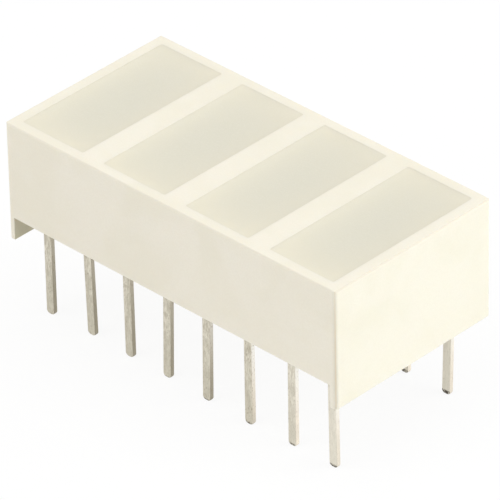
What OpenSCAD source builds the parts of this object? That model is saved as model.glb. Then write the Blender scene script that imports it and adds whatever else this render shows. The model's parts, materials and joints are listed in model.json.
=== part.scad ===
// LED light-bar module in a dual-in-line package, with a row of diffused windows on top.
// +X runs along the row of windows, +Y towards the back row of pins, and +Z out of the windows.
// The origin is the centre of the pin grid on the seating plane, where the end walls stand.

/* [Pin grid] */
// Distance between neighbouring pins of a row
pin_pitch = 2.54; // [2.3:0.01:2.9]
// Distance between the two rows of pins
row_spacing = 7.62; // [6.8:0.01:9]
// Distance from a row of pins to the outer face of its long wall
row_inset = 1.19; // [1:0.01:1.8]
// Length of a pin below the seating plane
pin_l = 4.2; // [2.5:0.05:6]

/* [Housing] */
// Height from the seating plane to the top face
body_h = 6.17; // [5:0.01:8]
// Height of the long walls' lower edge above the seating plane
foot_h = 1.17; // [0.5:0.01:1.5]
// Thickness of an end wall beside the back recess
end_wall = 0.35; // [0.3:0.05:0.8]
// Thickness of a long wall beside the back recess
side_wall = 0.6; // [0.4:0.05:0.9]
// Corner radius of the back recess, seen from below
recess_r = 0.3; // [0.1:0.05:0.5]
// Rounding of the upright edges
upright_r = 0.2; // [0.05:0.01:0.3]
// Rounding of the top face's outer edges
edge_r = 0.1; // [0.05:0.01:0.25]

/* [Windows] */
// Number of windows in the row
window_count = 4; // [2:1:6]
// Top face left between two windows
divider_w = 1.27; // [0.9:0.01:1.6]
// Top face left between an outer window and the end face
end_rim = 0.595; // [0.45:0.005:1]
// Top face left between a window and the long faces
side_rim = 0.555; // [0.45:0.005:1]
// Narrowing of a reflector cavity on each side, from the top face to its floor
cavity_draft = 0.3; // [0.1:0.05:0.4]
// Corner radius of a reflector cavity
cavity_r = 0.08; // [0.04:0.01:0.5]
// Depth of the resin's face below the top face
window_recess = 0.01; // [0.01:0.01:0.2]

/* [Potting] */
// Depth of the potting below the reflector, with the leads in it
potting_t = 1; // [0.8:0.05:1.4]
// Height of the potting's face above the long walls' lower edge
potting_recess = 0.3; // [0.1:0.05:0.6]

/* [Leads] */
// Width of a lead
lead_w = 0.48; // [0.4:0.01:0.6]
// Thickness of a lead
lead_t = 0.24; // [0.18:0.01:0.3]
// Inner radius of the bend between a pin and its pad
bend_r = 0.2; // [0.1:0.02:0.3]
// Rounding of a pin's tip
tip_r = 0.17; // [0.05:0.01:0.19]
// Length of the pad under a chip
pad_l = 0.9; // [0.6:0.05:1.2]
// Length of the post that takes a wire
post_l = 0.6; // [0.4:0.05:0.9]
// Width of a pad left beside its chip
pad_margin = 0.2; // [0.1:0.05:0.3]
// Gap between a pad and the post beside it
pad_gap = 0.4; // [0.2:0.05:0.5]

/* [Chips] */
// Side of a chip
chip_w = 0.3; // [0.2:0.02:0.4]
// Height of a chip
chip_h = 0.2; // [0.1:0.02:0.3]
// Diameter of the metal contact on a chip
contact_d = 0.14; // [0.1:0.01:0.18]
// Height of the metal contact on a chip
contact_h = 0.01; // [0.01:0.01:0.03]

/* [Bond wires] */
// Diameter of a bond wire
wire_d = 0.06; // [0.04:0.01:0.08]
// Diameter of the ball on a chip
ball_d = 0.12; // [0.09:0.01:0.16]
// Height of the ball on a chip
ball_h = 0.05; // [0.03:0.01:0.08]
// Diameter of the stitch on a post
stitch_d = 0.14; // [0.1:0.01:0.18]
// Height of the stitch on a post
stitch_h = 0.02; // [0.02:0.01:0.04]
// Distance from the edge of a post to the middle of the stitch
stitch_inset = 0.2; // [0.12:0.02:0.3]
// Height of the wire's centre line above a chip's contact
loop_h = 0.45; // [0.25:0.05:0.8]
// Radius of the wire's bend above a chip
loop_rise_r = 0.12; // [0.06:0.02:0.16]
// Radius of the wire's bend above a post
loop_fall_r = 0.3; // [0.1:0.02:0.4]

/* [Hidden] */
$fn = 48;
arc_steps = 6;
cut_over = 0.5;
pins_per_window = 2;
chips_per_window = 2;

window_pitch = pins_per_window * pin_pitch;
window_w = window_pitch - divider_w;
row_pins = window_count * pins_per_window;
lead_count = 2 * row_pins;
chip_count = window_count * chips_per_window;

body_w = row_spacing + 2 * row_inset;
body_l = window_count * window_pitch - divider_w + 2 * end_rim;
window_l = body_w - 2 * side_rim;
recess_l = body_l - 2 * end_wall;
recess_w = body_w - 2 * side_wall;

potting_z = foot_h + potting_recess;
frame_z = potting_z + potting_t;
reflector_h = body_h - frame_z;
chip_y = window_l / (2 * chips_per_window);
contact_z = chip_h + contact_h;
pad_reach = chip_w / 2 + pad_margin;
post_reach = pad_reach + pad_gap;
stitch_x = post_reach + stitch_inset;

// Places of the repeated pieces

function window_x(i) = (i - (window_count + 1) / 2) * window_pitch;

// Pins count along the front row and back along the other one, as on every such package
function lead_column(i) = i <= row_pins ? i : lead_count + 1 - i;
function lead_x(i) = (lead_column(i) - (row_pins + 1) / 2) * pin_pitch;
function lead_side(i) = i <= row_pins ? -1 : 1;
function lead_turn(i) = lead_column(i) % 2 == 1 ? 1 : -1;

// Every other window is mirrored, so neighbouring pads of one polarity sit back to back
function holds_chip(i) = lead_column(i) % (2 * pins_per_window) < pins_per_window;

function chip_window(i) = ceil(i / chips_per_window);
function chip_side(i) = i % chips_per_window == 1 ? -1 : 1;
function wire_turn(i) = chip_window(i) % 2 == 1 ? 1 : -1;

// Outlines

function arc(centre, r, from, turn = 90) = [
    for (k = [0:arc_steps])
        let (a = from + turn * k / arc_steps)
        [centre[0] + r * cos(a), centre[1] + r * sin(a)]
];

function rounded_rectangle(l, w, r) = concat(
    arc([l / 2 - r, w / 2 - r], r, 0),
    arc([r - l / 2, w / 2 - r], r, 90),
    arc([r - l / 2, r - w / 2], r, 180),
    arc([l / 2 - r, r - w / 2], r, 270)
);

// A block of the given width on z = 0, with its two top edges rounded
function domed_rectangle(l, h, r) = concat(
    [[-l / 2, 0], [l / 2, 0]],
    arc([l / 2 - r, h - r], r, 0),
    arc([r - l / 2, h - r], r, 90)
);

// Housing and what is cast into it

module along_y(l) {
    rotate([90, 0, 0])
        linear_extrude(height = l, center = true)
            children();
}

module along_x(l) {
    rotate([90, 0, 90])
        linear_extrude(height = l, center = true)
            children();
}

module outer_block() {
    intersection() {
        linear_extrude(height = body_h)
            polygon(rounded_rectangle(body_l, body_w, upright_r));
        along_y(body_w)
            polygon(domed_rectangle(body_l, body_h, edge_r));
        along_x(body_l)
            polygon(domed_rectangle(body_w, body_h, edge_r));
    }
}

module cavity(i) {
    h = reflector_h + 2 * cut_over;
    spread = 2 * cavity_draft / reflector_h;
    floor_w = window_w - 2 * cavity_draft - spread * cut_over;
    floor_l = window_l - 2 * cavity_draft - spread * cut_over;
    translate([window_x(i), 0, frame_z - cut_over])
        linear_extrude(height = h, slices = 1, scale = [1 + spread * h / floor_w, 1 + spread * h / floor_l])
            polygon(rounded_rectangle(floor_w, floor_l, cavity_r));
}

module recess(from, to) {
    translate([0, 0, from])
        linear_extrude(height = to - from)
            polygon(rounded_rectangle(recess_l, recess_w, recess_r));
}

module gap_between_feet() {
    translate([-recess_l / 2, -body_w / 2 - cut_over, -cut_over])
        cube([recess_l, body_w + 2 * cut_over, foot_h + cut_over]);
}

module housing() {
    color("ivory")
        difference() {
            outer_block();
            for (i = [1:window_count])
                cavity(i);
            recess(-cut_over, frame_z);
            gap_between_feet();
        }
}

module window(i) {
    color("gainsboro")
        difference() {
            intersection() {
                cavity(i);
                translate([window_x(i) - window_w / 2, -window_l / 2, frame_z])
                    cube([window_w, window_l, reflector_h - window_recess]);
            }
            for (k = [1:chip_count])
                if (chip_window(k) == i) {
                    chip(k);
                    wire(k);
                }
        }
}

module potting() {
    color("beige")
        difference() {
            recess(potting_z, frame_z);
            for (i = [1:lead_count])
                lead(i);
        }
}

// Lead frame

// Side view of a lead of the front row: the pin, the bend and the level stem that runs in to y = inner_y
function lead_profile(inner_y) =
    let (
        outer_y = -(row_spacing + lead_t) / 2,
        bend_centre = [outer_y + lead_t + bend_r, frame_z - lead_t - bend_r]
    )
    concat(
        [[outer_y, -pin_l], [outer_y + lead_t, -pin_l]],
        arc(bend_centre, bend_r, 180, -90),
        [[inner_y, frame_z - lead_t], [inner_y, frame_z]],
        arc(bend_centre, lead_t + bend_r, 90)
    );

// Front view of a lead without its pad, with the rounded tip of the pin at the bottom
function lead_outline() = concat(
    [[lead_w / 2, frame_z + cut_over], [-lead_w / 2, frame_z + cut_over]],
    arc([tip_r - lead_w / 2, tip_r - pin_l], tip_r, 180),
    arc([lead_w / 2 - tip_r, tip_r - pin_l], tip_r, 270)
);

// A lead whose inner end widens to x = reach, over a length l under the chip
module lead_strip(reach, l) {
    intersection() {
        along_x(lead_w + 2 * cut_over)
            polygon(lead_profile(l / 2 - chip_y));
        along_y(body_w)
            polygon(lead_outline());
    }
    translate([-lead_w / 2, -chip_y - l / 2, frame_z - lead_t])
        cube([lead_w / 2 + reach, l, lead_t]);
}

module lead(i) {
    window_centre = pin_pitch / 2;
    color("silver")
        translate([lead_x(i), 0, 0])
            mirror([lead_turn(i) < 0 ? 1 : 0, 0, 0])
                mirror([0, lead_side(i) > 0 ? 1 : 0, 0])
                    if (holds_chip(i))
                        lead_strip(window_centre + pad_reach, pad_l);
                    else
                        lead_strip(window_centre - post_reach, post_l);
}

// Chips and bond wires

module at_chip(i) {
    translate([window_x(chip_window(i)), chip_side(i) * chip_y, frame_z])
        children();
}

module chip(i) {
    color("goldenrod")
        at_chip(i) {
            translate([-chip_w / 2, -chip_w / 2, 0])
                cube([chip_w, chip_w, chip_h]);
            translate([0, 0, chip_h])
                cylinder(d = contact_d, h = contact_h);
        }
}

// A quarter turn of wire in the XZ plane, from straight up to straight along +X
module wire_bend(r) {
    rotate([90, 0, 0])
        rotate([0, 0, 90])
            rotate_extrude(angle = 90)
                translate([r, 0])
                    circle(d = wire_d);
}

module wire_loop() {
    top_z = contact_z + loop_h;
    rise_z = contact_z + ball_h;
    translate([0, 0, contact_z])
        cylinder(d = ball_d, h = ball_h);
    translate([0, 0, rise_z])
        cylinder(d = wire_d, h = top_z - loop_rise_r - rise_z);
    translate([loop_rise_r, 0, top_z - loop_rise_r])
        wire_bend(loop_rise_r);
    translate([loop_rise_r, 0, top_z])
        rotate([0, 90, 0])
            cylinder(d = wire_d, h = stitch_x - loop_fall_r - loop_rise_r);
    translate([stitch_x - loop_fall_r, 0, top_z - loop_fall_r])
        mirror([1, 0, 0])
            wire_bend(loop_fall_r);
    translate([stitch_x, 0, stitch_h])
        cylinder(d = wire_d, h = top_z - loop_fall_r - stitch_h);
    translate([stitch_x, 0, 0])
        cylinder(d = stitch_d, h = stitch_h);
}

module wire(i) {
    color("gold")
        at_chip(i)
            mirror([wire_turn(i) < 0 ? 1 : 0, 0, 0])
                wire_loop();
}

housing();
potting();
for (i = [1:window_count])
    window(i);
for (i = [1:lead_count])
    lead(i);
for (i = [1:chip_count])
    chip(i);
for (i = [1:chip_count])
    wire(i);
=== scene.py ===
"""Looks of a dual-in-line LED light-bar module: finishes, soft edges, light and camera round its frame."""

import json
import math
import random

import bmesh
import bpy
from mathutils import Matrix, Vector


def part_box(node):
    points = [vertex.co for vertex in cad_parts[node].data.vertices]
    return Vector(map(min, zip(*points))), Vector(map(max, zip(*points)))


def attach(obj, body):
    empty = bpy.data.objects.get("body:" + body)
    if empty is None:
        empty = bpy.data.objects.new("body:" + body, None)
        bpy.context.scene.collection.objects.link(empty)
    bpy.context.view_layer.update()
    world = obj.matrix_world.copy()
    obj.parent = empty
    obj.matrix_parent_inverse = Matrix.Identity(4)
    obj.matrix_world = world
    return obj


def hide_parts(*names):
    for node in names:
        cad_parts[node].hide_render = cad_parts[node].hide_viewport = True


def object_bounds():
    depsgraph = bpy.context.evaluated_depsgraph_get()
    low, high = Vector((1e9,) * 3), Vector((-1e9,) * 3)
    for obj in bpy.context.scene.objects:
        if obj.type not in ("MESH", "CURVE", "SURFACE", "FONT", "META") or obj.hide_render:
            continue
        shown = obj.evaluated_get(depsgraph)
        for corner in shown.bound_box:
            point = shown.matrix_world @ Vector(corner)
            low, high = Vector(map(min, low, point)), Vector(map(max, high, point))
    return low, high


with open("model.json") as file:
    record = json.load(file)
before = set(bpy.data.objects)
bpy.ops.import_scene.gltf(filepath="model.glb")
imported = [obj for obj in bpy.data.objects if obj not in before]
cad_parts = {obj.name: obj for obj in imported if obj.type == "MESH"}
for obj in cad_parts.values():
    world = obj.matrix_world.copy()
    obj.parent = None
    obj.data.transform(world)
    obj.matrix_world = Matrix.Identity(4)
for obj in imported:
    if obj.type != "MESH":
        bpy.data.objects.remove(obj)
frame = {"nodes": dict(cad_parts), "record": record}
cad_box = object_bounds()

MM = 0.001
BODY = "root"
SEED = 7
RIGHT, LEFT, FRONT, UP = (1, 0, 0), (-1, 0, 0), (0, -1, 0), (0, 0, 1)

# Sizes read from the frame

TIP_Z = cad_box[0][2]
HOUSING_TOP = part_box("housing")[1].z
RECESS_LOW, RECESS_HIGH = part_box("potting")
FOOT_X = RECESS_HIGH.x
FOOT_SHADE_RANGE = (0.8 * FOOT_X, 0.95 * FOOT_X)
WINDOWS = sorted(name for name in frame["nodes"] if name.startswith("window_"))
LEADS = [f"lead_{i}" for i in range(1, 1 + sum(name.startswith("lead_") for name in frame["nodes"]))]
SLOTS = {part["node"]: part["material_slot"] for part in frame["record"]["subparts"]}

# Soft edges

JOIN_GAP = 0.0005 * MM
FLAT_ANGLE = math.radians(0.5)
SHARP_ANGLE = math.radians(40)
SMOOTH_ANGLE = math.radians(30)
HOUSING_EDGE = 0.035 * MM
LEAD_EDGE = 0.045 * MM

# Cast resin of the windows

CAVITY_CORNER = 0.08 * MM
CAVITY_DRAFT = 0.3 * MM
WALL_OVERLAP = 0.01 * MM
FLUSH_GAP = 0.002 * MM
WINDOW_SAG = 0.06 * MM
MENISCUS_DEPTH = 0.09 * MM
MENISCUS_REACH = 0.4 * MM
# Paleness of the resin near the walls of each window; the front ends are paler than the back ones as
# painted light
SIDE_GLOW = 0.7
SIDE_GLOW_REACH = 0.6 * MM
FRONT_GLOW = 0.95
BACK_GLOW = 0.7
END_GLOW_REACH = 1.2 * MM
WINDOW_RINGS = 24
RING_CROWDING = 1.8
CORNER_STEPS = 6
SIDE_STEP = 0.25 * MM

# Poured resin of the underside

RECESS_CORNER = 0.3 * MM
POTTING_STEP = 0.12 * MM
WALL_CLIMB = 0.12 * MM
PIN_CLIMB = 0.16 * MM
CLIMB_REACH = 0.18 * MM
PIN_WIDTH = 0.48 * MM
PIN_THICKNESS = 0.24 * MM

# Stance of the pins: how far off in mm, along the row at the resin, then along and across it at the tip

FRONT_STANCE = [(0.10, 0.05, 0.05), (0.07, 0.09, 0.12), (0.04, 0.03, 0.05), (0.08, -0.11, 0.03),
                (-0.04, -0.09, -0.06), (-0.05, 0.04, -0.11), (0.07, 0.06, -0.01), (-0.07, -0.03, 0.03)]
BACK_STANCE = (-0.10, -0.14, -0.12)
STANCE_SPREAD = 0.03

# Patterns that the finishes share

NOISE_LOW, NOISE_HIGH = 0.3, 0.7
SPECK_OUTSIDE, SPECK_INSIDE = 0.6, 0.4  # shares of a speck's width
EDGE_MIDDLE = 0.5  # both facings multiplied, at 45 degrees
SIDE_START, SIDE_FULL = 0.55, 0.9  # facings between which a rolled face becomes a cut side
MIX_A, MIX_B, MIX_RESULT = 6, 7, 2  # sockets of a Mix node that hold colours

# Tones of the tinned pins, most of them painted light or shade: the way along which each one changes, and
# where it starts and is full

RIGHT_LIGHT_RANGE = (4 * MM, 9 * MM)
TIP_DARKENING_RANGE = (TIP_Z + 4.5 * MM, TIP_Z)
SHADE_RANGE = (TIP_Z + 5.2 * MM, TIP_Z + 0.7 * MM)
HIGHLIGHT_WAY = (1, 0, 0.6)
HIGHLIGHT_RANGE = (-1.25 * MM, 4.05 * MM)
END_PIN_RANGE = (7 * MM, 8.5 * MM)
TIP_SHADE_WAY = (-0.009, -0.009, 1)
TIP_SHADE_RANGE = (TIP_Z + 0.14 * MM, TIP_Z + 0.05 * MM)

# Camera

AZIMUTH = 44.436
ELEVATION = 33.7
ROLL = -1.161
DISTANCE = 285.46 * MM
AIM = Vector((-0.347, 0.539, 0.941)) * MM
LENS_MM = 458.89
SENSOR_MM = 36.0
CLIP_START = 0.01

# Floor, sky and lamps: a lamp has its azimuth, elevation, width in metres, power in watts and tint

FLOOR_SIZE = 3.0
FLOOR_WHITE = 0.75
FLOOR_GLOW = 0.9
SKY_LIGHT = 0.45
LAMP_DISTANCE = 0.4
LAMPS = {
    "key_right": (124, 18, 0.3, 1.12, (0.955, 1.0, 0.98)),
    "top": (0, 88, 0.4, 0.6, (1, 1, 1)),
    "fill_front": (-28, 24, 0.4, 0.66, (1, 1, 1)),
}


def srgb(red, green, blue):
    """A colour given as it looks on a screen, from 0 to 255, as the renderer's own numbers."""
    def linear(level):
        share = level / 255
        return share / 12.92 if share <= 0.04045 else ((share + 0.055) / 1.055) ** 2.4
    return (linear(red), linear(green), linear(blue), 1.0)


def direction(azimuth, elevation):
    """The way from the object to a place at that azimuth and elevation, with azimuth 0 in front."""
    turn, rise = math.radians(azimuth), math.radians(elevation)
    return Vector((math.sin(turn) * math.cos(rise), -math.cos(turn) * math.cos(rise), math.sin(rise)))


class Graph:
    """A node tree, with short calls that add nodes and feed their inputs."""

    def __init__(self, tree):
        self.tree = tree

    def add(self, kind, settings=(), **inputs):
        """A new node with those settings, whose inputs take a value or what another node gives."""
        node = self.tree.nodes.new(kind)
        for name, value in dict(settings).items():
            setattr(node, name, value)
        for name, value in inputs.items():
            self.feed(node.inputs[name.replace("_", " ")], value)
        return node

    def feed(self, socket, value):
        if isinstance(value, bpy.types.NodeSocket):
            self.tree.links.new(value, socket)
        else:
            socket.default_value = value

    def work_out(self, operation, *values):
        """One step of arithmetic."""
        node = self.add("ShaderNodeMath", {"operation": operation})
        for socket, value in zip(node.inputs, values):
            self.feed(socket, value)
        return node.outputs["Value"]

    def times(self, one, other):
        return self.work_out("MULTIPLY", one, other)

    def background_rays(self):
        """1 for rays that show a background: from the camera, a mirror or a clear face."""
        paths = self.add("ShaderNodeLightPath").outputs
        seen = self.work_out("MAXIMUM", paths["Is Camera Ray"], paths["Is Glossy Ray"])
        return self.work_out("MAXIMUM", seen, paths["Is Transmission Ray"])


class Finish(Graph):
    """A procedural material, with one short call for each kind of pattern that the finishes share."""

    def __init__(self, name, **sockets):
        self.material = bpy.data.materials.new(name)
        self.material.use_nodes = True
        super().__init__(self.material.node_tree)
        self.shader = self.tree.nodes["Principled BSDF"]
        self.place = self.add("ShaderNodeTexCoord").outputs["Object"]
        self.set(**sockets)

    def set(self, **sockets):
        """Feed the shader's sockets, and give back the material."""
        for socket, value in sockets.items():
            self.feed(self.shader.inputs[socket.replace("_", " ")], value)
        return self.material

    def grain(self, size, detail=2.0, stretch=(1, 1, 1), twist=0.0):
        """Cloudy noise whose lumps are about that many millimetres wide, longer along a stretched axis."""
        scale = [1 / (size * MM * s) for s in stretch]
        place = self.add("ShaderNodeMapping", Vector=self.place, Scale=scale).outputs["Vector"]
        return self.add("ShaderNodeTexNoise", Vector=place, Scale=1.0, Detail=detail,
                        Distortion=twist).outputs["Fac"]

    def specks(self, spacing, width):
        """Small round specks of that width, about that far apart, as 1 on a ground of 0."""
        cells = self.add("ShaderNodeTexVoronoi", Vector=self.place, Scale=1 / (spacing * MM))
        share = width / spacing
        return self.ramp(cells.outputs["Distance"], SPECK_OUTSIDE * share, SPECK_INSIDE * share)

    def ramp(self, value, low, high, to_low=0.0, to_high=1.0):
        """The value, brought smoothly from one range to another and held at its ends."""
        node = self.add("ShaderNodeMapRange", {"interpolation_type": "SMOOTHSTEP"}, Value=value,
                        From_Min=low, From_Max=high, To_Min=to_low, To_Max=to_high)
        return node.outputs["Result"]

    def spread(self, noise, to_low=0.0, to_high=1.0):
        """Cloudy noise, which stays near its middle, brought to a full range."""
        return self.ramp(noise, NOISE_LOW, NOISE_HIGH, to_low, to_high)

    def blend(self, factor, one, other):
        node = self.add("ShaderNodeMix", {"data_type": "RGBA"}, Factor=factor)
        self.feed(node.inputs[MIX_A], one)
        self.feed(node.inputs[MIX_B], other)
        return node.outputs[MIX_RESULT]

    def along(self, way, vector=None):
        """How far a place, or another vector, reaches along that way."""
        node = self.add("ShaderNodeVectorMath", {"operation": "DOT_PRODUCT"})
        self.feed(node.inputs[0], vector or self.place)
        self.feed(node.inputs[1], way)
        return node.outputs["Value"]

    def facing(self, way):
        """How squarely the surface looks along that way."""
        return self.along(way, self.add("ShaderNodeNewGeometry").outputs["Normal"])

    def edge(self, one, other, start):
        """1 in the middle of the rounded edge between faces that look those ways, and 0 on the faces."""
        return self.ramp(self.times(self.facing(one), self.facing(other)), start, EDGE_MIDDLE)

    def sheared_sides(self):
        """1 on the cut sides of a strip and 0 on its rolled faces."""
        return self.ramp(self.work_out("ABSOLUTE", self.facing(RIGHT)), SIDE_START, SIDE_FULL)

    def bumps(self, *layers):
        """Bump from pairs of a height and its full depth in millimetres, laid over each other."""
        normal = None
        for height, depth in layers:
            node = self.add("ShaderNodeBump", Height=height, Distance=depth * MM)
            if normal is not None:
                self.feed(node.inputs["Normal"], normal)
            normal = node.outputs["Normal"]
        self.feed(self.shader.inputs["Normal"], normal)


def moulded_plastic():
    """Cream thermoplastic with the fine grain of its eroded mould, faint flow clouds, and painted shade on
    its rounded edges and on the feet's inner sides.
    """
    finish = Finish("housing_plastic", IOR=1.5, Subsurface_Weight=0.15, Subsurface_Scale=0.3 * MM,
                    Subsurface_Radius=(1.0, 0.85, 0.6))
    clouds = finish.grain(3.0, detail=3.0, twist=0.6)
    grain = finish.grain(0.07, detail=3.0)
    dimples = finish.grain(0.5, detail=2.0)
    specks = finish.specks(1.1, 0.05)
    colour = finish.blend(finish.ramp(clouds, 0.35, 0.65), srgb(242, 236, 219), srgb(245, 239, 224))
    colour = finish.blend(finish.spread(grain, 0.0, 0.25), colour, srgb(236, 228, 211))
    colour = finish.blend(finish.times(specks, 0.18), colour, srgb(196, 180, 150))
    # Painted shade: the rounded edges are darkened, in a tan line down the upright edges and along the
    # rounds of the top edges.
    colour = finish.blend(finish.edge(RIGHT, FRONT, 0.43), colour, srgb(236, 222, 198))
    colour = finish.blend(finish.edge(RIGHT, UP, 0.0), colour, srgb(233, 223, 207))
    colour = finish.blend(finish.edge(FRONT, UP, 0.0), colour, srgb(235, 228, 212))
    # So far out, a face that looks back to the middle is a foot's inner side or lies under resin, and is
    # darkened as painted shade.
    inward = finish.times(finish.facing(RIGHT), finish.along(LEFT))
    colour = finish.blend(finish.ramp(inward, *FOOT_SHADE_RANGE), colour, srgb(226, 221, 199))
    finish.bumps((dimples, 0.004), (grain, 0.003))
    return finish.set(Base_Color=colour, Roughness=finish.spread(grain, 0.66, 0.8))


def diffused_resin():
    """Milky epoxy that pales towards the white walls round it, at the front ends partly as painted light,
    with a slightly wavy cast face.
    """
    finish = Finish("window_resin", IOR=1.53, Subsurface_Weight=0.2, Subsurface_Scale=0.4 * MM,
                    Subsurface_Radius=(1.0, 0.95, 0.75))
    edge = finish.add("ShaderNodeAttribute", {"attribute_name": "pale_edge_and_front_light"}).outputs["Fac"]
    milk = finish.grain(1.6, detail=3.0, twist=0.8)
    powder = finish.grain(0.06, detail=2.0)
    waves = finish.grain(1.1, detail=1.0)
    bubbles = finish.specks(1.7, 0.06)
    # Paler near the walls, and at the front ends partly as painted light
    colour = finish.blend(edge, srgb(218, 214, 198), srgb(235, 227, 205))
    colour = finish.blend(finish.spread(milk, 0.0, 0.3), colour, srgb(222, 218, 201))
    colour = finish.blend(finish.ramp(powder, 0.4, 0.75, 0.0, 0.2), colour, srgb(236, 232, 218))
    colour = finish.blend(finish.times(bubbles, 0.25), colour, srgb(190, 186, 166))
    finish.bumps((waves, 0.006), (powder, 0.0015))
    return finish.set(Base_Color=colour, Roughness=finish.spread(milk, 0.62, 0.72))


def potting_resin():
    """Poured epoxy on the underside, a little glossy, with clouds and small bubbles."""
    finish = Finish("potting_resin", IOR=1.53, Subsurface_Weight=0.1, Subsurface_Scale=0.4 * MM)
    clouds = finish.grain(2.2, detail=3.0, twist=1.0)
    waves = finish.grain(0.9, detail=2.0)
    bubbles = finish.specks(0.9, 0.1)
    colour = finish.blend(finish.spread(clouds), srgb(224, 217, 196), srgb(233, 227, 209))
    colour = finish.blend(finish.times(bubbles, 0.35), colour, srgb(188, 178, 150))
    finish.bumps((waves, 0.015), (bubbles, -0.01))
    return finish.set(Base_Color=colour, Roughness=finish.spread(clouds, 0.28, 0.4))


def tinned_metal():
    """Dull, streaked tin plate on stamped strip, darker towards the tips and flecked with stains; painted
    light makes it paler towards the right end, where the cut sides get a painted highlight and more metal,
    and painted shade darkens the other cut sides and the very tips.
    """
    finish = Finish("tinned_lead")
    streaks = finish.grain(0.035, detail=3.0, stretch=(1, 1, 14))
    blotches = finish.grain(0.22, detail=4.0, twist=0.5, stretch=(1, 1, 2.2))
    crystals = finish.grain(0.03, detail=2.0)
    flecks = finish.grain(0.05, detail=3.0, stretch=(1, 1, 2.5))
    right, height = finish.along(RIGHT), finish.along(UP)
    # Painted light: the pins grow paler towards the right end, nearer the key light
    painted_right_light = finish.ramp(right, *RIGHT_LIGHT_RANGE, 0.0, 0.5)
    # Darker stains in flecks, and more of them towards the left end as painted shade
    stains_and_left_shade = finish.times(finish.ramp(right, *RIGHT_LIGHT_RANGE, 0.6, 0.2), finish.ramp(flecks, 0.56, 0.7))
    darker_to_tip = finish.ramp(height, *TIP_DARKENING_RANGE, 0.0, 0.65)
    shade = finish.ramp(height, *SHADE_RANGE)
    # Painted highlight on the cut sides towards the right end, a little less on the last pin
    end_highlight = finish.ramp(finish.along(HIGHLIGHT_WAY), *HIGHLIGHT_RANGE)
    end_highlight = finish.times(end_highlight, finish.ramp(right, *END_PIN_RANGE, 1.0, 0.88))
    # Painted shade at the very bottom of each tip, broken up in flecks
    cut = finish.ramp(finish.along(TIP_SHADE_WAY), *TIP_SHADE_RANGE)
    cut = finish.times(cut, finish.ramp(flecks, 0.4, 0.55, 0.2, 1.0))
    sides = finish.sheared_sides()
    # Painted shade on the cut sides away from that end; both kinds of side are lighter at the top and
    # darker towards the tips by painted shade
    shaded_side = finish.blend(shade, srgb(201, 194, 177), srgb(163, 155, 137))
    highlit_side = finish.blend(shade, srgb(255, 254, 248), srgb(236, 227, 212))
    colour = finish.blend(finish.ramp(blotches, 0.38, 0.62), srgb(206, 200, 183), srgb(236, 231, 216))
    colour = finish.blend(finish.ramp(streaks, 0.42, 0.66, 0.0, 0.7), colour, srgb(183, 175, 154))
    # Darker towards the tips
    colour = finish.blend(darker_to_tip, colour, srgb(198, 192, 174))
    # Painted light towards the right end
    colour = finish.blend(painted_right_light, colour, srgb(247, 242, 229))
    # Painted shade under the tips
    colour = finish.blend(cut, colour, srgb(64, 56, 44))
    # The cut sides take the painted highlight and shade in place of the face's colour
    colour = finish.blend(finish.times(sides, 0.95), colour, finish.blend(end_highlight, shaded_side, highlit_side))
    colour = finish.blend(stains_and_left_shade, colour, srgb(150, 137, 110))
    # Under the painted highlight the cut sides are also more metallic
    metal = finish.ramp(finish.times(sides, end_highlight), 0.0, 1.0, 0.6, 1.0)
    finish.bumps((blotches, 0.008), (streaks, 0.004), (crystals, 0.002))
    return finish.set(Base_Color=colour, Metallic=metal, Roughness=finish.spread(blotches, 0.42, 0.58))


def light_chip():
    """Amber semiconductor with sawn, slightly ragged sides."""
    finish = Finish("chip", IOR=2.0)
    sawn = finish.grain(0.02, detail=3.0, stretch=(1, 1, 4))
    colour = finish.blend(finish.spread(sawn), srgb(176, 112, 40), srgb(204, 142, 66))
    finish.bumps((sawn, 0.002))
    return finish.set(Base_Color=colour, Roughness=finish.spread(sawn, 0.25, 0.45))


def gold_wire():
    """Drawn gold, with faint die lines."""
    finish = Finish("gold_wire", Metallic=1.0)
    lines = finish.grain(0.01, detail=2.0)
    colour = finish.blend(finish.spread(lines), srgb(226, 178, 92), srgb(240, 200, 120))
    finish.bumps((lines, 0.001))
    return finish.set(Base_Color=colour, Roughness=finish.spread(lines, 0.18, 0.3))


def place(name, bm, finish, node):
    """Turn a mesh into a piece that stands for a node of the frame."""
    mesh = bpy.data.meshes.new(name)
    bm.normal_update()
    bm.to_mesh(mesh)
    bm.free()
    mesh.polygons.foreach_set("use_smooth", [True] * len(mesh.polygons))
    mesh.set_sharp_from_angle(angle=SMOOTH_ANGLE)
    mesh.materials.append(finish)
    piece = bpy.data.objects.new(name, mesh)
    bpy.context.scene.collection.objects.link(piece)
    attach(piece, BODY)
    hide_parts(node)
    return piece


def joined_skin(node):
    """The node's faces as one closed skin, with flat stretches left as single faces."""
    bm = bmesh.new()
    bm.from_mesh(frame["nodes"][node].data)
    bmesh.ops.remove_doubles(bm, verts=bm.verts, dist=JOIN_GAP)
    bmesh.ops.dissolve_limit(bm, angle_limit=FLAT_ANGLE, verts=bm.verts, edges=bm.edges)
    return bm


def soften(bm, width, below=math.inf):
    """Round every sharp edge that starts below that height by that width."""
    sharp = [edge for edge in bm.edges if edge.is_manifold and edge.calc_face_angle(0.0) > SHARP_ANGLE
             and min(vert.co.z for vert in edge.verts) < below]
    bmesh.ops.bevel(bm, geom=sharp, offset=width, offset_type="OFFSET", segments=2, profile=0.5,
                    affect="EDGES", clamp_overlap=True)


def steady_normals(piece):
    """Keep flat faces flat beside their softened edges."""
    modifier = piece.modifiers.new("steady_normals", "WEIGHTED_NORMAL")
    modifier.keep_sharp = True


def make_housing(finish):
    """The moulding, with its lower edges softened; the rims of its windows stay crisp."""
    bm = joined_skin("housing")
    soften(bm, HOUSING_EDGE, below=HOUSING_TOP - JOIN_GAP)
    steady_normals(place("housing_moulding", bm, finish, "housing"))


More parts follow.
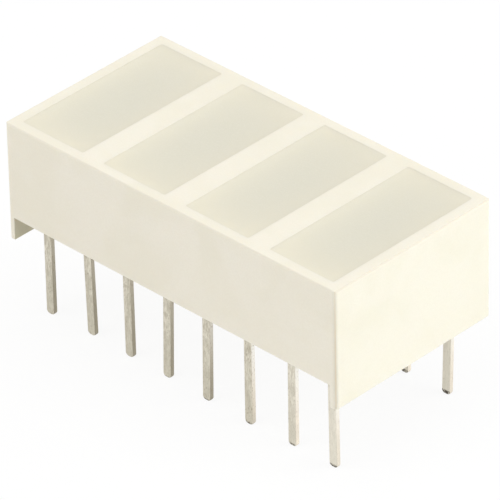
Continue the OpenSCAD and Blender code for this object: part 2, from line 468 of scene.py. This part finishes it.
def rounded_outline(half_x, half_y, radius):
    """Points round a rectangle with round corners, close enough together for a smooth face."""
    corners = [(half_x - radius, half_y - radius, 0), (radius - half_x, half_y - radius, 90),
               (radius - half_x, radius - half_y, 180), (half_x - radius, radius - half_y, 270)]

    def on_arc(x, y, degrees):
        angle = math.radians(degrees)
        return Vector((x + radius * math.cos(angle), y + radius * math.sin(angle)))

    points = []
    for k, (x, y, start) in enumerate(corners):
        points += [on_arc(x, y, start + 90 * step / CORNER_STEPS) for step in range(CORNER_STEPS + 1)]
        last, end = points[-1], on_arc(*corners[(k + 1) % 4])
        count = max(1, round((end - last).length / SIDE_STEP))
        points += [last.lerp(end, step / count) for step in range(1, count)]
    return points


def make_window(node, finish):
    """One bar of resin: a face that sank while it cured and clings to the drafted walls of its cavity."""
    low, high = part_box(node)
    half_x, half_y = (high.x - low.x) / 2 + WALL_OVERLAP, (high.y - low.y) / 2 + WALL_OVERLAP
    centre = Vector(((low.x + high.x) / 2, (low.y + high.y) / 2))
    spine = half_y - half_x
    bm = bmesh.new()
    glow = bm.verts.layers.float.new("pale_edge_and_front_light")

    def cured(point):
        """The height of the cured face: a shallow bowl, drawn up along the walls."""
        to_side, to_end = half_x - abs(point.x), half_y - abs(point.y)
        bowl = (1 - (point.x / half_x) ** 2) * (1 - (point.y / half_y) ** 2)
        pool = (1 - math.exp(-to_side / MENISCUS_REACH)) * (1 - math.exp(-to_end / MENISCUS_REACH))
        return HOUSING_TOP - FLUSH_GAP - WINDOW_SAG * bowl - MENISCUS_DEPTH * pool

    def ring(points, heights):
        """A loop of corners at those points and heights, paler the nearer they are to a wall, and at the
        front end more so as painted light.
        """
        verts = []
        for point, height in zip(points, heights):
            vert = bm.verts.new((centre.x + point.x, centre.y + point.y, height))
            side = SIDE_GLOW * math.exp((abs(point.x) - half_x) / SIDE_GLOW_REACH)
            # The front ends are paler than the back ends: painted light
            end = FRONT_GLOW if point.y < 0 else BACK_GLOW
            end *= math.exp((abs(point.y) - half_y) / END_GLOW_REACH)
            vert[glow] = 1 - (1 - side) * (1 - end)
            verts.append(vert)
        return verts

    rim = rounded_outline(half_x, half_y, CAVITY_CORNER)
    hubs = [Vector((0.0, max(-spine, min(spine, point.y)))) for point in rim]
    base = [Vector((p.x * (1 - CAVITY_DRAFT / half_x), p.y * (1 - CAVITY_DRAFT / half_y))) for p in rim]
    loops = [ring(base, [low.z] * len(base))]
    for k in range(WINDOW_RINGS + 1):
        inward = (k / WINDOW_RINGS) ** RING_CROWDING
        points = [point.lerp(hub, inward) for hub, point in zip(hubs, rim)]
        loops.append(ring(points, map(cured, points)))
    bm.faces.new(reversed(loops[0]))
    for outer, inner in zip(loops, loops[1:]):
        for k in range(len(rim)):
            n = (k + 1) % len(rim)
            bm.faces.new((outer[k], outer[n], inner[n], inner[k]))
    bmesh.ops.remove_doubles(bm, verts=loops[-1], dist=JOIN_GAP)
    bmesh.ops.dissolve_degenerate(bm, edges=bm.edges, dist=JOIN_GAP)
    place(f"{node}_cast", bm, finish, node)


def make_lead(node, stance, finish):
    """A stamped strip with rounded edges, whose pin stands a little out of line as handled pins do."""
    bm = joined_skin(node)
    soften(bm, LEAD_EDGE)
    pad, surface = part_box(node)[1].z, RECESS_LOW.z
    bmesh.ops.bisect_plane(bm, geom=bm.verts[:] + bm.edges[:] + bm.faces[:], plane_co=(0, 0, surface),
                           plane_no=UP)
    at_resin = Vector((stance[0], 0, 0)) * MM
    at_tip = Vector((stance[1], stance[2], 0)) * MM
    for vert in bm.verts:
        sunk = min(1.0, (pad - vert.co.z) / (pad - surface))
        drop = max(0.0, (surface - vert.co.z) / (surface - TIP_Z))
        vert.co += (at_resin * sunk).lerp(at_tip, drop)
    steady_normals(place(f"{node}_strip", bm, finish, node))


def pin_place(node):
    """Where the middle of a lead's pin comes out of the resin."""
    below = [vert.co for vert in frame["nodes"][node].data.vertices if vert.co.z < RECESS_LOW.z]
    return sum(below, Vector()).xy / len(below)


def make_potting(finish):
    """The poured underside: level in the middle, and drawn down a little along the walls and the pins."""
    low, high = RECESS_LOW, RECESS_HIGH
    middle = Vector(((low.x + high.x) / 2, (low.y + high.y) / 2))
    half = Vector(((high.x - low.x) / 2, (high.y - low.y) / 2))
    straight = half - Vector((RECESS_CORNER, RECESS_CORNER))
    count_x, count_y = round(2 * half.x / POTTING_STEP), round(2 * half.y / POTTING_STEP)
    pins = [pin_place(node) for node in LEADS]
    pin_half = Vector((PIN_WIDTH / 2, PIN_THICKNESS / 2))

    def within(point):
        """The point, pulled back to the round corner of the recess where it lies beyond it."""
        past = Vector((max(0.0, abs(point.x) - straight.x), max(0.0, abs(point.y) - straight.y)))
        if past.x == 0 or past.y == 0 or past.length <= RECESS_CORNER:
            return point
        corner = straight + past * (RECESS_CORNER / past.length)
        return Vector((math.copysign(corner.x, point.x), math.copysign(corner.y, point.y)))

    def climb(point):
        """How far the resin creeps along the wall and the pin nearest to a point."""
        to_wall = min(half.x - abs(point.x), half.y - abs(point.y))
        to_pin = min(Vector((max(0.0, abs(point.x - pin.x) - pin_half.x),
                             max(0.0, abs(point.y - pin.y) - pin_half.y))).length for pin in pins)
        return WALL_CLIMB * math.exp(-to_wall / CLIMB_REACH) + PIN_CLIMB * math.exp(-to_pin / CLIMB_REACH)

    bm = bmesh.new()
    grid = []
    for j in range(count_y + 1):
        row = []
        for i in range(count_x + 1):
            flat = within(Vector((half.x * (2 * i / count_x - 1), half.y * (2 * j / count_y - 1))))
            row.append(bm.verts.new((middle.x + flat.x, middle.y + flat.y, low.z - climb(flat))))
        grid.append(row)
    for lower, upper in zip(grid, grid[1:]):
        for i in range(count_x):
            bm.faces.new((lower[i], upper[i], upper[i + 1], lower[i + 1]))
    rim = grid[0] + [row[-1] for row in grid[1:]] + grid[-1][-2::-1] + [row[0] for row in grid[-2:0:-1]]
    cap = [bm.verts.new((vert.co.x, vert.co.y, high.z)) for vert in rim]
    for k in range(len(rim)):
        n = (k + 1) % len(rim)
        bm.faces.new((rim[k], rim[n], cap[n], cap[k]))
    bm.faces.new(cap)
    bmesh.ops.remove_doubles(bm, verts=bm.verts, dist=JOIN_GAP)
    bmesh.ops.recalc_face_normals(bm, faces=bm.faces)
    place("potting_pour", bm, finish, "potting")


def make_floor():
    """A white floor at the pins' tips that still takes the shadow."""
    bm = bmesh.new()
    bmesh.ops.create_grid(bm, x_segments=1, y_segments=1, size=FLOOR_SIZE / 2)
    bmesh.ops.translate(bm, verts=bm.verts, vec=(0, 0, TIP_Z))
    mesh = bpy.data.meshes.new("floor")
    bm.to_mesh(mesh)
    bm.free()
    material = bpy.data.materials.new("floor_white")
    material.use_nodes = True
    graph = Graph(material.node_tree)
    graph.tree.nodes.clear()
    seen = graph.background_rays()
    whiteness = graph.add("ShaderNodeMapRange", Value=seen, To_Min=FLOOR_WHITE).outputs["Result"]
    paint = graph.add("ShaderNodeBsdfDiffuse", Color=whiteness).outputs["BSDF"]
    glow = graph.add("ShaderNodeEmission").outputs["Emission"]
    both = graph.add("ShaderNodeMixShader", Fac=graph.times(seen, FLOOR_GLOW))
    graph.feed(both.inputs[1], paint)
    graph.feed(both.inputs[2], glow)
    graph.add("ShaderNodeOutputMaterial", Surface=both.outputs["Shader"])
    mesh.materials.append(material)
    floor = bpy.data.objects.new("floor", mesh)
    bpy.context.scene.collection.objects.link(floor)


def make_sky():
    """Even light from all round, seen as white."""
    world = bpy.data.worlds.new("studio")
    bpy.context.scene.world = world
    world.use_nodes = True
    graph = Graph(world.node_tree)
    strength = graph.add("ShaderNodeMapRange", Value=graph.background_rays(), To_Min=SKY_LIGHT)
    background = graph.tree.nodes["Background"]
    background.inputs["Color"].default_value = (1, 1, 1, 1)
    graph.feed(background.inputs["Strength"], strength.outputs["Result"])


def softbox(name, azimuth, elevation, size, power, tint):
    """A square lamp aimed at the object."""
    lamp = bpy.data.lights.new(name, "AREA")
    lamp.color = tint
    lamp.shape = "SQUARE"
    lamp.size = size
    lamp.energy = power
    holder = bpy.data.objects.new(name, lamp)
    way = direction(azimuth, elevation)
    holder.location = way * LAMP_DISTANCE
    holder.rotation_euler = way.to_track_quat("Z", "Y").to_euler()
    bpy.context.scene.collection.objects.link(holder)


def make_camera():
    """A camera that stands as the photograph's did."""
    data = bpy.data.cameras.new("camera")
    data.lens = LENS_MM
    data.sensor_width = SENSOR_MM
    data.clip_start = CLIP_START
    camera = bpy.data.objects.new("camera", data)
    back = direction(AZIMUTH, ELEVATION)
    camera.location = AIM + back * DISTANCE
    turn = back.to_track_quat("Z", "Y").to_matrix().to_4x4()
    turn = turn @ turn.Rotation(math.radians(ROLL), 4, "Z")
    camera.rotation_euler = turn.to_euler()
    bpy.context.scene.collection.objects.link(camera)
    bpy.context.scene.camera = camera


finishes = {
    "housing_plastic": moulded_plastic(),
    "window_resin": diffused_resin(),
    "potting_resin": potting_resin(),
    "tinned_lead": tinned_metal(),
    "chip": light_chip(),
    "gold_wire": gold_wire(),
}
for node, slot in SLOTS.items():
    for material_slot in frame["nodes"][node].material_slots:
        material_slot.material = finishes[slot]

make_housing(finishes["housing_plastic"])
for node in WINDOWS:
    make_window(node, finishes["window_resin"])
rng = random.Random(SEED)
back_row = [[x + rng.uniform(-STANCE_SPREAD, STANCE_SPREAD) for x in BACK_STANCE] for _ in FRONT_STANCE]
for node, stance in zip(LEADS, FRONT_STANCE + back_row):
    make_lead(node, stance, finishes["tinned_lead"])
make_potting(finishes["potting_resin"])

make_floor()
make_sky()
for name, settings in LAMPS.items():
    softbox(name, *settings)
make_camera()
bpy.context.scene.view_settings.view_transform = "Standard"
